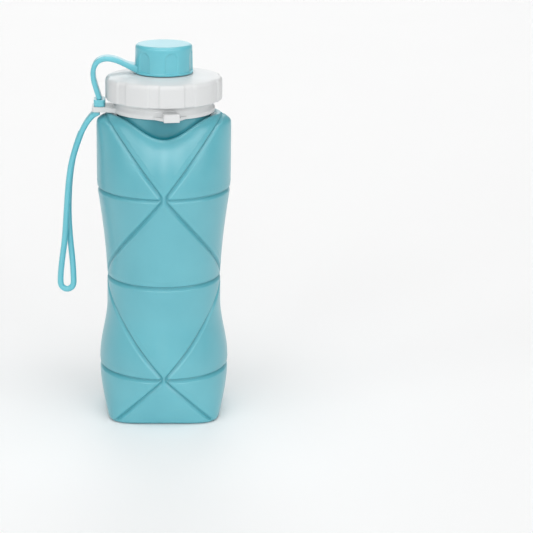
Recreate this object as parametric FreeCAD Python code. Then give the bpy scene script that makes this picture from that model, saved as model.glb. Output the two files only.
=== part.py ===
"""Folding water bottle with a creased silicone body, screw lid, spout cap, carrying loop and storage strap.

Millimetres, +Z up. The origin is the centre of the flat bottom. The front, with the hook, faces -Y.
The bottle stands unfolded with its lid and cap closed.
"""
import FreeCAD, Part
import math
import os

from FreeCAD import Vector

# Heights of the body's crease belts and of the stack above it
BOTTOM_Z = 0.0
LOWER_BELT_Z = 28.8
WAIST_Z = 82.5
UPPER_BELT_Z = 135.0
SHOULDER_Z = 178.0
NECK_TOP_Z = 185.0

# Half widths of the body
BOTTOM_HALF = 32.0
BOTTOM_CORNER_RADIUS = 41.0
LOWER_BELT_RADIUS = 37.6
WAIST_RADIUS = 33.0
SIDE_RADIUS = 38.4
UPPER_BELT_DEPTH = 38.1
SHOULDER_DEPTH = 27.3
SHOULDER_HALF = 33.9
BEVEL_HEIGHT = 4.5
SHOULDER_EXPONENT = 1.65
BELLY_EXPONENT = 2.0
CHEST_EXPONENT = 1.6
BELLY_Z = (31.5, 67.0)
FACET_BULGE = 2.0
SIDE_WALL = 2.2
BOTTOM_WALL = 2.8
NECK_OUTER = 26.6
NECK_INNER = 24.2

# Neck insert and its thread
INSERT_BARREL = 23.9
INSERT_BORE = 21.8
INSERT_MOUTH = 25.9
INSERT_MOUTH_Z = (186.0, 188.6)
INSERT_LOW_Z = 164.0
INSERT_FLANGE = 30.2
INSERT_FLANGE_Z = (185.3, 187.4)
INSERT_ROOT = 28.6
INSERT_TOP_Z = 194.7
THREAD_PITCH = 5.0
THREAD_HEIGHT = 1.6
THREAD_ROOT_WIDTH = 2.2
THREAD_CREST_WIDTH = 1.1
THREAD_TURNS = 0.95
THREAD_START_Z = 188.75

# Collar with its two slotted ears and its hook
COLLAR_INNER = 26.9
COLLAR_OUTER = 28.3
COLLAR_LIP = 29.0
COLLAR_LIP_HEIGHT = 1.6
COLLAR_Z = (178.4, 185.0)
EAR_THICKNESS = 2.9
EAR_REACH = 40.7
EAR_HALF_WIDTH = 7.0
EAR_FLARE = 10.0
EAR_CORNER = 1.8
SLOT_NEAR = 34.6
SLOT_FAR = 37.8
SLOT_HALF_LENGTH = 5.25
SLOT_CORNER = 1.2
HOOK_HALF_WIDTH = 4.85
HOOK_Z = (178.4, 182.3)
HOOK_REACH = 36.3
HOOK_LIP = 1.8
HOOK_UNDERCUT_Z = 180.2
HOOK_TURN_DEG = 7.0

# Screw lid and spout
LID_RADIUS = 33.1
LID_Z = (185.4, 198.0)
LID_EDGE = 2.6
LID_CHAMFER = 0.6
LID_SHOULDER = (25.4, 199.2)
LID_DOME_Z = 199.9
LID_FLAT_RADIUS = 17.6
LID_BORE = 30.6
LID_CEILING_Z = 196.4
LID_DISC_Z = 197.6
LID_DISC_RADIUS = 24.5
FLUTES = 10
FIRST_FLUTE_DEG = 8.0
FLUTE_DEPTH = 0.7
FLUTE_WIDTH = 6.6
SPOUT_OUTER = 13.0
SPOUT_BORE = 10.4
SPOUT_CHAMFER = 0.7
SPOUT_TOP_Z = 213.4
GASKET = (25.2, 30.2)
GASKET_Z = (194.75, 196.35)

# Spout cap
CAP_Z = (200.4, 216.5)
CAP_BASE_RADIUS = 16.6
CAP_TOP_RADIUS = 16.0
CAP_EDGE = 2.4
CAP_BORE = 13.4
CAP_CEILING_Z = 213.8
PLUG_RADII = (7.6, 9.8)
PLUG_LOW_Z = 208.4
GRIPS = 6
GRIP_WIDTH = 7.8
GRIP_DEPTH = 0.7
GRIP_TOP_Z = 213.0
FIRST_GRIP_DEG = -74.0

# Tether from the cap to the ear, and the lanyard below the ear
TETHER_WIDTH = 9.0
TETHER_THICKNESS = 2.8
TETHER_CAP_GAP_RADIUS = 17.0
TETHER_FOOT_Z = 185.65
TETHER_ROUTE = [(-13.4, 201.9), (-19.8, 204.0), (-26.1, 207.3), (-32.4, 208.6), (-37.5, 206.9),
                (-39.9, 202.4), (-39.9, 196.8), (-38.3, 191.2), (-36.4, 185.65)]
STOPPER_X = (-39.6, -33.2)
STOPPER_HALF_WIDTH = 6.2
STOPPER_Z = (181.6, 185.3)
STOPPER_EDGE = 1.1
STUB_X = (-37.6, -34.8)
STUB_LOW_Z = 178.35
TONGUE_THICKNESS = 2.0
TONGUE_ROUTE = [(-36.7, 177.35), (-39.4, 176.8), (-43.0, 173.0), (-46.2, 167.3)]
LANYARD_DIAMETER = 3.5
LANYARD_ROUTE = [(-47.3, -2.6, 165.2), (-50.3, -2.7, 157.3), (-53.2, -2.6, 146.9), (-55.0, -2.4, 133.4),
                 (-56.2, -2.0, 117.2), (-57.4, -1.2, 102.1), (-59.3, -0.3, 89.4), (-60.3, 0.0, 80.1),
                 (-60.3, 0.0, 73.9), (-56.5, 0.1, 71.6), (-52.7, 0.2, 73.9), (-52.7, 0.4, 80.1),
                 (-53.1, 0.9, 89.4), (-54.4, 1.7, 102.1), (-55.2, 2.2, 117.2), (-54.6, 2.5, 133.4),
                 (-53.0, 2.6, 146.9), (-50.3, 2.7, 157.3), (-47.3, 2.6, 165.2)]

# Elastic storage strap hanging from the back ear
STRAP_WIDTH = 8.5
STRAP_THICKNESS = 1.2
STRAP_Y = 40.8
BAR_CENTRE = (39.25, 179.85)
ANCHOR_RADIUS = 3.05
ANCHOR_JOIN_Z = 172.0
ANCHOR_LOW_Z = 158.0
END_LOOP_TOP_Z = 92.0
END_LOOP_OPEN_Z = 84.0
END_LOOP_LOW_Z = 77.0
END_LOOP_GAP = 1.4
WEBBING_ROUTE = [(0.0, 40.8, 158.0), (0.0, 41.4, 147.0), (0.0, 42.6, 127.5), (0.0, 41.8, 107.5),
                 (0.0, 40.8, 92.0)]


def cylinder(radius, low, high):
    """Upright cylinder on the bottle's axis."""
    return Part.makeCylinder(radius, high - low, Vector(0, 0, low))


def block(x_range, y_range, z_range):
    """Box from three (low, high) pairs."""
    low = Vector(x_range[0], y_range[0], z_range[0])
    size = (x_range[1] - x_range[0], y_range[1] - y_range[0], z_range[1] - z_range[0])
    return Part.makeBox(size[0], size[1], size[2], low)


def revolved(outline):
    """Solid of revolution about Z from a closed list of (radius, height) points."""
    points = [Vector(radius, 0, height) for radius, height in outline]
    face = Part.Face(Part.makePolygon(points + points[:1]))
    return face.revolve(Vector(0, 0, 0), Vector(0, 0, 1), 360)


def turned(shape, degrees):
    """Copy of a shape turned about the bottle's axis."""
    copy = shape.copy()
    copy.rotate(Vector(0, 0, 0), Vector(0, 0, 1), degrees)
    return copy


def rounded_route(name, points):
    """Wire of straight runs joined by tangent arcs, as wide as the runs allow."""
    points = [Vector(*point) for point in points]
    edges = []
    radii = []
    start = points[0]
    for before, corner, after in zip(points, points[1:], points[2:]):
        run_in = corner - before
        run_out = after - corner
        half_turn = run_in.getAngle(run_out) / 2
        cut = 0.45 * min(run_in.Length, run_out.Length)
        radii.append(cut / math.tan(half_turn))
        run_in.normalize()
        run_out.normalize()
        arc_start = corner - run_in * cut
        arc_end = corner + run_out * cut
        inward = (run_out - run_in).normalize()
        to_centre = radii[-1] / math.cos(half_turn)
        middle = corner + inward * (to_centre - radii[-1])
        edges.append(Part.LineSegment(start, arc_start).toShape())
        edges.append(Part.Arc(arc_start, middle, arc_end).toShape())
        start = arc_end
    edges.append(Part.LineSegment(start, points[-1]).toShape())
    wire = Part.Wire(edges)
    print(name, "length", round(wire.Length, 1), "bend radii", [round(radius, 1) for radius in radii])
    return wire


def swept(name, points, profile_wire, section_area):
    """Profile swept along a rounded route, with its volume compared with section times length."""
    route = rounded_route(name, points)
    solid = route.makePipeShell([profile_wire], True, False)
    print(name, "volume over section x length", round(solid.Volume / (section_area * route.Length), 3))
    return solid


def tube(name, points, diameter):
    """Round cord along a route."""
    start = Vector(*points[0])
    heading = Vector(*points[1]) - start
    profile = Part.Wire(Part.Circle(start, heading, diameter / 2).toShape())
    return swept(name, points, profile, math.pi * diameter ** 2 / 4)


def ribbon(name, points, across, width, thickness):
    """Flat strap along a route in a plane, with its width along the unit vector across."""
    start = Vector(*points[0])
    heading = (Vector(*points[1]) - start).normalize()
    normal = heading.cross(across)
    corners = [start + across * (side * width / 2) + normal * (face * thickness / 2)
               for side, face in ((-1, -1), (1, -1), (1, 1), (-1, 1))]
    profile = Part.makePolygon(corners + corners[:1])
    return swept(name, points, profile, width * thickness)


def side_radius(z):
    """Half width of the body at the height z, below the shoulder bevel."""
    if z <= LOWER_BELT_Z:
        rise = 1 - (1 - z / LOWER_BELT_Z) ** BELLY_EXPONENT
        return BOTTOM_HALF + (LOWER_BELT_RADIUS - BOTTOM_HALF) * rise
    if z <= WAIST_Z:
        drop = min(max((z - BELLY_Z[0]) / (BELLY_Z[1] - BELLY_Z[0]), 0.0), 1.0)
        return WAIST_RADIUS + (LOWER_BELT_RADIUS - WAIST_RADIUS) * (1 + math.cos(math.pi * drop)) / 2
    if z <= UPPER_BELT_Z:
        rise = (z - WAIST_Z) / (UPPER_BELT_Z - WAIST_Z)
        return WAIST_RADIUS + (SIDE_RADIUS - WAIST_RADIUS) * rise ** CHEST_EXPONENT
    return SIDE_RADIUS


def body_section(z, inset):
    """Closed smooth wire round the body at one height: a superellipse, moved in by the wall."""
    half = side_radius(z)
    depth = half
    exponent = 2.0
    if z < LOWER_BELT_Z:
        corner = BOTTOM_CORNER_RADIUS + (LOWER_BELT_RADIUS - BOTTOM_CORNER_RADIUS) * z / LOWER_BELT_Z
        exponent = 1 / (0.5 - math.log2(corner / half))
    if z > UPPER_BELT_Z:
        rise = (z - UPPER_BELT_Z) / (SHOULDER_Z - UPPER_BELT_Z)
        depth = UPPER_BELT_DEPTH + (SHOULDER_DEPTH - UPPER_BELT_DEPTH) * rise
        depth += FACET_BULGE * math.sin(math.pi * rise)
        exponent = 2.0 + (SHOULDER_EXPONENT - 2.0) * rise
    bevel = max(0.0, z - (SHOULDER_Z - BEVEL_HEIGHT)) / BEVEL_HEIGHT
    half += (SHOULDER_HALF - SIDE_RADIUS) * bevel
    points = []
    for step in range(48):
        angle = math.radians(7.5 * step)
        c = math.cos(angle)
        s = math.sin(angle)
        reach = (abs(c / (half - inset)) ** exponent + abs(s / (depth - inset)) ** exponent) ** (-1 / exponent)
        points.append(Vector(reach * c, reach * s, z))
    curve = Part.BSplineCurve()
    curve.interpolate(points, PeriodicFlag=True)
    return Part.Wire(curve.toShape())


def body_loft(levels, inset, low, high):
    """Solid through the body's sections; the end sections are laid at low and high."""
    wires = []
    for level in levels:
        wire = body_section(level, inset)
        target = min(max(level, low), high)
        wire.translate(Vector(0, 0, target - level))
        wires.append(wire)
    return Part.makeLoft(wires, True, True)


def silicone_body():
    """One soft moulding: creased body and round neck, open at the top."""
    levels = [0, 7, 14, 21, LOWER_BELT_Z, 40, 50, 60, 70, WAIST_Z, 96, 109, 122, UPPER_BELT_Z,
              150, 164, SHOULDER_Z - BEVEL_HEIGHT, SHOULDER_Z]
    outer = body_loft(levels, 0.0, BOTTOM_Z, SHOULDER_Z)
    inner = body_loft(levels, SIDE_WALL, BOTTOM_WALL, SHOULDER_Z - SIDE_WALL)
    outer = outer.fuse(cylinder(NECK_OUTER, INSERT_LOW_Z - 2, NECK_TOP_Z))
    inner = inner.fuse(cylinder(NECK_INNER, INSERT_LOW_Z - 2, NECK_TOP_Z + 1))
    return outer.cut(inner)


def thread(root, crest_step, start_z, first_turn):
    """Helical ridge on a wall of radius root; crest_step is the signed height of the ridge."""
    height = THREAD_PITCH * THREAD_TURNS
    helix = Part.makeHelix(THREAD_PITCH, height, root)
    helix.translate(Vector(0, 0, start_z))
    sink = -math.copysign(0.3, crest_step)
    half_root = THREAD_ROOT_WIDTH / 2
    half_crest = THREAD_CREST_WIDTH / 2
    outline = [(root + sink, -half_root), (root + sink, half_root),
               (root + crest_step, half_crest), (root + crest_step, -half_crest)]
    corners = [Vector(radius, 0, start_z + height_offset) for radius, height_offset in outline]
    profile = Part.makePolygon(corners + corners[:1])
    ridge = Part.Wire(helix).makePipeShell([profile], True, True)
    return turned(ridge, 360 * first_turn)


def neck_insert():
    """Rigid barrel inside the soft neck, with the outer thread for the lid."""
    barrel = revolved([(INSERT_BORE, INSERT_LOW_Z), (INSERT_BARREL, INSERT_LOW_Z),
                       (INSERT_BARREL, INSERT_FLANGE_Z[0]), (INSERT_FLANGE, INSERT_FLANGE_Z[0]),
                       (INSERT_FLANGE, INSERT_FLANGE_Z[1]), (INSERT_ROOT, INSERT_FLANGE_Z[1]),
                       (INSERT_ROOT, INSERT_TOP_Z), (INSERT_MOUTH, INSERT_TOP_Z),
                       (INSERT_MOUTH, INSERT_MOUTH_Z[1]), (INSERT_BORE, INSERT_MOUTH_Z[0])])
    return barrel.fuse(thread(INSERT_ROOT, THREAD_HEIGHT, THREAD_START_Z, 0.0))


def ear(direction_degrees):
    """Slotted ear on the collar, flared tangentially into the ring. It is made towards +X and turned."""
    low = COLLAR_Z[0]
    high = low + EAR_THICKNESS
    to_centre = COLLAR_OUTER + EAR_FLARE
    centre_y = EAR_HALF_WIDTH + EAR_FLARE
    centre_x = math.sqrt(to_centre ** 2 - centre_y ** 2)
    centre = Vector(centre_x, centre_y, low)
    on_ring = Vector(centre_x * COLLAR_OUTER / to_centre, centre_y * COLLAR_OUTER / to_centre, low)
    on_side = Vector(centre_x, EAR_HALF_WIDTH, low)
    halfway = centre + ((on_ring + on_side) * 0.5 - centre).normalize() * EAR_FLARE
    flare = [on_ring, halfway, on_side]
    opposite = [Vector(point.x, -point.y, low) for point in reversed(flare)]
    tip = [Vector(EAR_REACH, EAR_HALF_WIDTH, low), Vector(EAR_REACH, -EAR_HALF_WIDTH, low)]
    root = [Vector(COLLAR_INNER - EAR_FLARE, -on_ring.y, low), Vector(COLLAR_INNER - EAR_FLARE, on_ring.y, low)]
    runs = [(flare[2], tip[0]), (tip[0], tip[1]), (tip[1], opposite[0]), (opposite[2], root[0]),
            (root[0], root[1]), (root[1], flare[0])]
    edges = [Part.LineSegment(start, end).toShape() for start, end in runs]
    edges += [Part.Arc(*flare).toShape(), Part.Arc(*opposite).toShape()]
    outline = Part.Wire(Part.__sortEdges__(edges))
    plate = Part.Face(outline).extrude(Vector(0, 0, EAR_THICKNESS))
    ends = [edge for edge in plate.Edges
            if abs(edge.CenterOfMass.x - EAR_REACH) < 0.1 and abs(edge.CenterOfMass.y) > EAR_HALF_WIDTH - 0.1]
    plate = plate.makeFillet(EAR_CORNER, ends)
    slot = block((SLOT_NEAR, SLOT_FAR), (-SLOT_HALF_LENGTH, SLOT_HALF_LENGTH), (low - 1, high + 1))
    slot = slot.makeFillet(SLOT_CORNER, [edge for edge in slot.Edges if abs(edge.tangentAt(0).z) > 0.9])
    return turned(plate.cut(slot), direction_degrees)


def collar_hook():
    """Lug at the front with a lip that hangs down, for the strap's end loop."""
    half = HOOK_HALF_WIDTH
    lug = block((-half, half), (-HOOK_REACH, -COLLAR_INNER), HOOK_Z)
    undercut = block((-half - 1, half + 1), (-HOOK_REACH + HOOK_LIP, -COLLAR_LIP - 0.8),
                     (HOOK_Z[0] - 1, HOOK_UNDERCUT_Z))
    return turned(lug.cut(undercut), HOOK_TURN_DEG)


def strap_collar():
    """Ring clamped round the soft neck: ears at the left and the back, hook at the front."""
    low, high = COLLAR_Z
    lip_top = low + COLLAR_LIP_HEIGHT
    ring = revolved([(COLLAR_INNER, low), (COLLAR_LIP, low), (COLLAR_LIP, lip_top),
                     (COLLAR_OUTER, lip_top + COLLAR_LIP - COLLAR_OUTER), (COLLAR_OUTER, high),
                     (COLLAR_INNER, high)])
    bore = cylinder(COLLAR_INNER, low - 1, high + 1)
    return ring.fuse([ear(180), ear(90), collar_hook()]).cut(bore).removeSplitter()


def rounded_rim(radius, edge, top, steps):
    """Outline points of a quarter-round upper edge, from the side to the top."""
    angles = [math.radians(90 * step / steps) for step in range(steps + 1)]
    return [(radius - edge * (1 - math.cos(angle)), top - edge * (1 - math.sin(angle))) for angle in angles]


def screw_lid():
    """Fluted lid with its inner thread and the drinking spout, one moulding."""
    outline = [(LID_BORE, LID_Z[0]), (LID_RADIUS - LID_CHAMFER, LID_Z[0]), (LID_RADIUS, LID_Z[0] + LID_CHAMFER)]
    outline += rounded_rim(LID_RADIUS, LID_EDGE, LID_Z[1], 4)
    outline += [(LID_SHOULDER[0], LID_SHOULDER[1]), (LID_FLAT_RADIUS, LID_DOME_Z), (SPOUT_OUTER, LID_DOME_Z),
                (SPOUT_OUTER, SPOUT_TOP_Z - SPOUT_CHAMFER), (SPOUT_OUTER - SPOUT_CHAMFER, SPOUT_TOP_Z),
                (SPOUT_BORE + SPOUT_CHAMFER, SPOUT_TOP_Z), (SPOUT_BORE, SPOUT_TOP_Z - SPOUT_CHAMFER),
                (SPOUT_BORE, LID_DISC_Z), (LID_DISC_RADIUS, LID_DISC_Z),
                (LID_DISC_RADIUS, LID_CEILING_Z), (LID_BORE, LID_CEILING_Z)]
    shell = revolved(outline)
    cutter_radius = FLUTE_WIDTH ** 2 / (8 * FLUTE_DEPTH)
    flute_low = LID_Z[0] - 1
    flute_height = LID_Z[1] - LID_EDGE + LID_CHAMFER - flute_low
    cutter = Part.makeCylinder(cutter_radius, flute_height,
                               Vector(LID_RADIUS - FLUTE_DEPTH + cutter_radius, 0, flute_low))
    cutters = [turned(cutter, FIRST_FLUTE_DEG + 360 * index / FLUTES) for index in range(FLUTES)]
    shell = shell.cut(Part.makeCompound(cutters))
    return shell.fuse(thread(LID_BORE, -THREAD_HEIGHT, THREAD_START_Z, 0.5))


def lid_gasket():
    """Flat seal between the lid and the neck insert's rim."""
    disc = cylinder(GASKET[1], GASKET_Z[0], GASKET_Z[1])
    return disc.cut(cylinder(GASKET[0], GASKET_Z[0] - 1, GASKET_Z[1] + 1))


def spout_cap():
    """Soft cap with an inner plug and arched finger recesses."""
    outline = [(0, CAP_CEILING_Z), (PLUG_RADII[0], CAP_CEILING_Z), (PLUG_RADII[0], PLUG_LOW_Z),
               (PLUG_RADII[1], PLUG_LOW_Z), (PLUG_RADII[1], CAP_CEILING_Z), (CAP_BORE, CAP_CEILING_Z),
               (CAP_BORE, CAP_Z[0]), (CAP_BASE_RADIUS, CAP_Z[0])]
    outline += rounded_rim(CAP_TOP_RADIUS, CAP_EDGE, CAP_Z[1], 3)
    outline += [(0, CAP_Z[1])]
    cap = revolved(outline)
    half = GRIP_WIDTH / 2
    floor = CAP_TOP_RADIUS - GRIP_DEPTH
    spring_z = GRIP_TOP_Z - half
    recess = block((floor, 2 * CAP_TOP_RADIUS), (-half, half), (CAP_Z[0] - 1, spring_z))
    arch = Part.makeCylinder(half, CAP_TOP_RADIUS, Vector(floor, 0, spring_z), Vector(1, 0, 0))
    recess = recess.fuse(arch)
    grips = [turned(recess, FIRST_GRIP_DEG + 360 * index / GRIPS) for index in range(GRIPS)]
    return cap.cut(Part.makeCompound(grips))


def cap_tether():
    """Flat soft strap from the cap over the lid's edge down to the stopper."""
    points = [(x, 0.0, z) for x, z in TETHER_ROUTE]
    strap = ribbon("cap_tether", points, Vector(0, 1, 0), TETHER_WIDTH, TETHER_THICKNESS)
    strap = strap.cut(cylinder(TETHER_CAP_GAP_RADIUS, 195, 225))
    return strap.cut(block((-60, 0), (-20, 20), (150, TETHER_FOOT_Z)))


def tether_stopper():
    """Flange that sits on the ear, and the stub through its slot."""
    flange = block(STOPPER_X, (-STOPPER_HALF_WIDTH, STOPPER_HALF_WIDTH), STOPPER_Z)
    flange = flange.makeFillet(STOPPER_EDGE, flange.Edges)
    half = TETHER_WIDTH / 2
    stub = block(STUB_X, (-half, half), (STUB_LOW_Z, STOPPER_Z[0] + STOPPER_EDGE))
    return flange.fuse(stub).removeSplitter()


def lanyard_tongue():
    """Flat tongue under the ear that carries the loop's two strands."""
    points = [(x, 0.0, z) for x, z in TONGUE_ROUTE]
    return ribbon("lanyard_tongue", points, Vector(0, 1, 0), TETHER_WIDTH, TONGUE_THICKNESS)


def lanyard_loop():
    """Long soft loop: one round strand down, round the bottom and back up."""
    return tube("lanyard_loop", LANYARD_ROUTE, LANYARD_DIAMETER)


def folded_loop(outline, hole):
    """Closed (y, z) outline with its hole, extruded over the strap's width."""
    half = STRAP_WIDTH / 2
    solids = []
    for loop in (outline, hole):
        points = [Vector(-half, y, z) for y, z in loop]
        face = Part.Face(Part.makePolygon(points + points[:1]))
        solids.append(face.extrude(Vector(STRAP_WIDTH, 0, 0)))
    return solids[0].cut(solids[1])


def arc_points(centre, radius, first, last, steps):
    """Points (y, z) on an arc about centre, in degrees from +Y towards +Z."""
    angles = [math.radians(first + (last - first) * step / steps) for step in range(steps + 1)]
    return [(centre[0] + radius * math.cos(a), centre[1] + radius * math.sin(a)) for a in angles]


def strap_anchor_loop():
    """Webbing folded round the back ear's bar and sewn to itself below."""
    outer_face = STRAP_Y + STRAP_THICKNESS / 2
    inner_face = STRAP_Y - 1.5 * STRAP_THICKNESS
    outer = arc_points(BAR_CENTRE, ANCHOR_RADIUS + STRAP_THICKNESS / 2, -15, 195, 14)
    outer += [(inner_face, ANCHOR_JOIN_Z), (inner_face, ANCHOR_LOW_Z), (outer_face, ANCHOR_LOW_Z),
              (outer_face, ANCHOR_JOIN_Z)]
    inner = arc_points(BAR_CENTRE, ANCHOR_RADIUS - STRAP_THICKNESS / 2, -15, 195, 14)
    inner += [(inner_face + STRAP_THICKNESS - 0.2, ANCHOR_JOIN_Z + 1.2),
              (outer_face - STRAP_THICKNESS + 0.2, ANCHOR_JOIN_Z + 1.2)]
    return folded_loop(outer, inner)


def strap_webbing():
    """Plain hanging length of the storage strap."""
    return ribbon("strap_webbing", WEBBING_ROUTE, Vector(1, 0, 0), STRAP_WIDTH, STRAP_THICKNESS)


def strap_end_loop():
    """Folded and sewn end of the strap, open below its seam for the hook."""
    outer_face = STRAP_Y + STRAP_THICKNESS / 2
    inner_face = STRAP_Y - 1.5 * STRAP_THICKNESS
    middle = (outer_face + inner_face) / 2
    reach = STRAP_THICKNESS + END_LOOP_GAP / 2
    belly_z = END_LOOP_LOW_Z + reach
    outer = [(outer_face, END_LOOP_TOP_Z), (inner_face, END_LOOP_TOP_Z), (inner_face, END_LOOP_OPEN_Z)]
    outer += arc_points((middle, belly_z), reach, 180, 360, 12)
    outer += [(outer_face, END_LOOP_OPEN_Z)]
    inner = [(middle, END_LOOP_OPEN_Z - 0.6)]
    inner += arc_points((middle, belly_z), reach - STRAP_THICKNESS, 180, 360, 12)
    return folded_loop(outer, inner)


PARTS = [silicone_body, neck_insert, strap_collar, screw_lid, lid_gasket, spout_cap, cap_tether, tether_stopper,
         lanyard_tongue, lanyard_loop, strap_anchor_loop, strap_webbing, strap_end_loop]

os.makedirs("parts", exist_ok=True)
for make in PARTS:
    shape = make()
    box = shape.BoundBox
    print(make.__name__, "valid", shape.isValid(), "solids", len(shape.Solids), "volume", round(shape.Volume),
          "box", [round(value, 1) for value in (box.XMin, box.YMin, box.ZMin, box.XMax, box.YMax, box.ZMax)])
    shape.exportStep(os.path.join("parts", make.__name__ + ".step"))
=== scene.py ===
"""Looks of the folding water bottle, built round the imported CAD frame.

Lengths are millimetres until a mesh is made.
"""
from math import atan2, cos, dist, pi, radians, sin, sqrt, tan

import bpy
import bmesh
import numpy as np
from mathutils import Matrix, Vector
from mathutils.kdtree import KDTree


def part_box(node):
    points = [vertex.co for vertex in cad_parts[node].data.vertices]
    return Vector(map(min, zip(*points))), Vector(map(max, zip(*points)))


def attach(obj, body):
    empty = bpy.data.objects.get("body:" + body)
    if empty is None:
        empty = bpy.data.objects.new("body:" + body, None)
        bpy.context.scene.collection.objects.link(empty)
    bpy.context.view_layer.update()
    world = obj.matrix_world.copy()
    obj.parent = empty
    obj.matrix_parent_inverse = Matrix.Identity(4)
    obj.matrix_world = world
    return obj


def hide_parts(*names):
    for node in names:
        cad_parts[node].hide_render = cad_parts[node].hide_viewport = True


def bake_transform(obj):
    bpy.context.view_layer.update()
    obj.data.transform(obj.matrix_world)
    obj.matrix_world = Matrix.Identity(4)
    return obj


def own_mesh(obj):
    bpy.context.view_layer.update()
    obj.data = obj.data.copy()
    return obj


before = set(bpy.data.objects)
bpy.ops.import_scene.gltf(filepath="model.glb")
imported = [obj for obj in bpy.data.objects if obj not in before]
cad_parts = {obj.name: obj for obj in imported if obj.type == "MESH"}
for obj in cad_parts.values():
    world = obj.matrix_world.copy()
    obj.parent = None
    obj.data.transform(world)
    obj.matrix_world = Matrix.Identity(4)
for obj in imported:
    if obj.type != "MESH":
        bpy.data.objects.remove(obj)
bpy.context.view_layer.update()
MM = 0.001


def cad_box(node):
    """Lowest and highest corners of a CAD node at rest, in millimetres."""
    low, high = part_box(node)
    return np.array(low) / MM, np.array(high) / MM


NECK_TOP_Z = cad_box("silicone_body")[1][2]
COLLAR_LOW, COLLAR_HIGH = cad_box("strap_collar")
LID_LOW, LID_HIGH = cad_box("screw_lid")
CAP_LOW, CAP_HIGH = cad_box("spout_cap")

# Crease belts and widths of the soft body
LOWER_BELT_Z = 28.8
WAIST_Z = 82.5
UPPER_BELT_Z = 135.0
SHOULDER_Z = COLLAR_LOW[2] - 0.4
BOTTOM_HALF = 32.0
BOTTOM_CORNER_RADIUS = 41.0
LOWER_BELT_RADIUS = 37.6
WAIST_RADIUS = 33.0
SIDE_RADIUS = 38.4
UPPER_BELT_DEPTH = 38.1
SHOULDER_DEPTH = 27.3
SHOULDER_HALF = 33.9
BEVEL_HEIGHT = 4.5
SHOULDER_EXPONENT = 1.65
BELLY_EXPONENT = 2.0
CHEST_EXPONENT = 1.6
BELLY_Z = (31.5, 67.0)
FACET_BULGE = 2.0
NECK_RADIUS = 26.6
NECK_WAIST = 26.0
NECK_BORE = 24.2
RIDGE_LOW_Z = 167.9
RIDGE_ROLL = 1.3
ROLL_REACH = 8.0
VALLEY_DIP = 1.6
SIDE_WALL = 2.2
BOTTOM_WALL = 2.8
CEILING_Z = RIDGE_LOW_Z - VALLEY_DIP - SIDE_WALL
MOUTH_RADIUS = NECK_WAIST + 0.1

# Creases
GROOVE_DEPTH = 1.2
# strength of the painted shade line along each groove
GROOVE_PAINTED_SHADE = 0.65
GROOVE_HALF_WIDTH = 1.55
GROOVE_LEAN = 0.5
# half width of that painted shade line
GROOVE_LINE = 1.15
PILLOW_DEPTH = 0.3
PILLOW_WIDTH = 3.0
CREASE_REACH = 3.0
UPPER_BRIDGE = 3.3
LOWER_BRIDGE = 2.8
SIDE_BRIDGE = 2.6
BOTTOM_EDGE = 2.5
SPLIT = 3
BODY_CELLS = 220
WALL_CELLS = 190
UPPER_V_REACH = 33.8
LOWER_V_REACH = 30.0


# ---- materials


def new_material(name, colour, roughness):
    """Principled material with its nodes, ready for more."""
    material = bpy.data.materials.new(name)
    material.use_nodes = True
    shader = material.node_tree.nodes["Principled BSDF"]
    finish_with(shader, Base_Color=(*colour, 1), Roughness=roughness)
    return material, shader


def add_node(material, kind, **inputs):
    """New node with its input sockets set by name."""
    node = material.node_tree.nodes.new(kind)
    for socket, value in inputs.items():
        node.inputs[socket.replace("_", " ")].default_value = value
    return node


def finish_with(shader, **settings):
    """Set a shader's sockets by name."""
    for socket, value in settings.items():
        shader.inputs[socket.replace("_", " ")].default_value = value


def join(source, target):
    """Link two sockets."""
    target.id_data.links.new(source, target)


def noise(material, scale, detail=3.0):
    """Noise in the object's own coordinates."""
    place = add_node(material, "ShaderNodeTexCoord")
    texture = add_node(material, "ShaderNodeTexNoise", Scale=scale, Detail=detail)
    join(place.outputs["Object"], texture.inputs["Vector"])
    return texture.outputs["Fac"]


def ramp(material, source, low, high, stops):
    """Value mapped to colours between two positions."""
    node = add_node(material, "ShaderNodeValToRGB")
    node.color_ramp.elements[0].position = low
    node.color_ramp.elements[0].color = (*stops[0], 1)
    node.color_ramp.elements[1].position = high
    node.color_ramp.elements[1].color = (*stops[1], 1)
    join(source, node.inputs["Fac"])
    return node.outputs["Color"]


def add_bump(material, shader, source, strength, distance, previous=None):
    """Bump from a height, on top of an earlier bump."""
    node = add_node(material, "ShaderNodeBump", Strength=strength, Distance=distance)
    join(source, node.inputs["Height"])
    if previous is not None:
        join(previous, node.inputs["Normal"])
    join(node.outputs["Normal"], shader.inputs["Normal"])
    return node.outputs["Normal"]


def uneven_gloss(material, shader, scale, smooth, rough):
    """Roughness that wanders between two values."""
    spread = add_node(material, "ShaderNodeMapRange", To_Min=smooth, To_Max=rough)
    join(noise(material, scale), spread.inputs["Value"])
    join(spread.outputs["Result"], shader.inputs["Roughness"])


def uneven_colour(material, shader, scale, low, high, tones):
    """Base colour that wanders between two tones."""
    join(ramp(material, noise(material, scale), low, high, tones), shader.inputs["Base Color"])


def tint(material, base, overlay, factor, blend="MIX"):
    """Mix of two colours; each value is a plain one or a socket."""
    node = add_node(material, "ShaderNodeMix")
    node.data_type = "RGBA"
    node.blend_type = blend
    for socket, value in ((node.inputs["Factor"], factor), (node.inputs[6], base), (node.inputs[7], overlay)):
        if isinstance(value, float):
            socket.default_value = value
        elif isinstance(value, tuple):
            socket.default_value = (*value, 1)
        else:
            join(value, socket)
    return node.outputs[2]


TEAL = (0.098, 0.424, 0.500)
TEAL_LIGHT = (0.116, 0.460, 0.536)
# darker teal used only for painted shade
TEAL_PAINTED_SHADE = (0.002, 0.235, 0.295)
WHITE = (0.725, 0.738, 0.742)
WHITE_WARM = (0.700, 0.710, 0.710)


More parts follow.
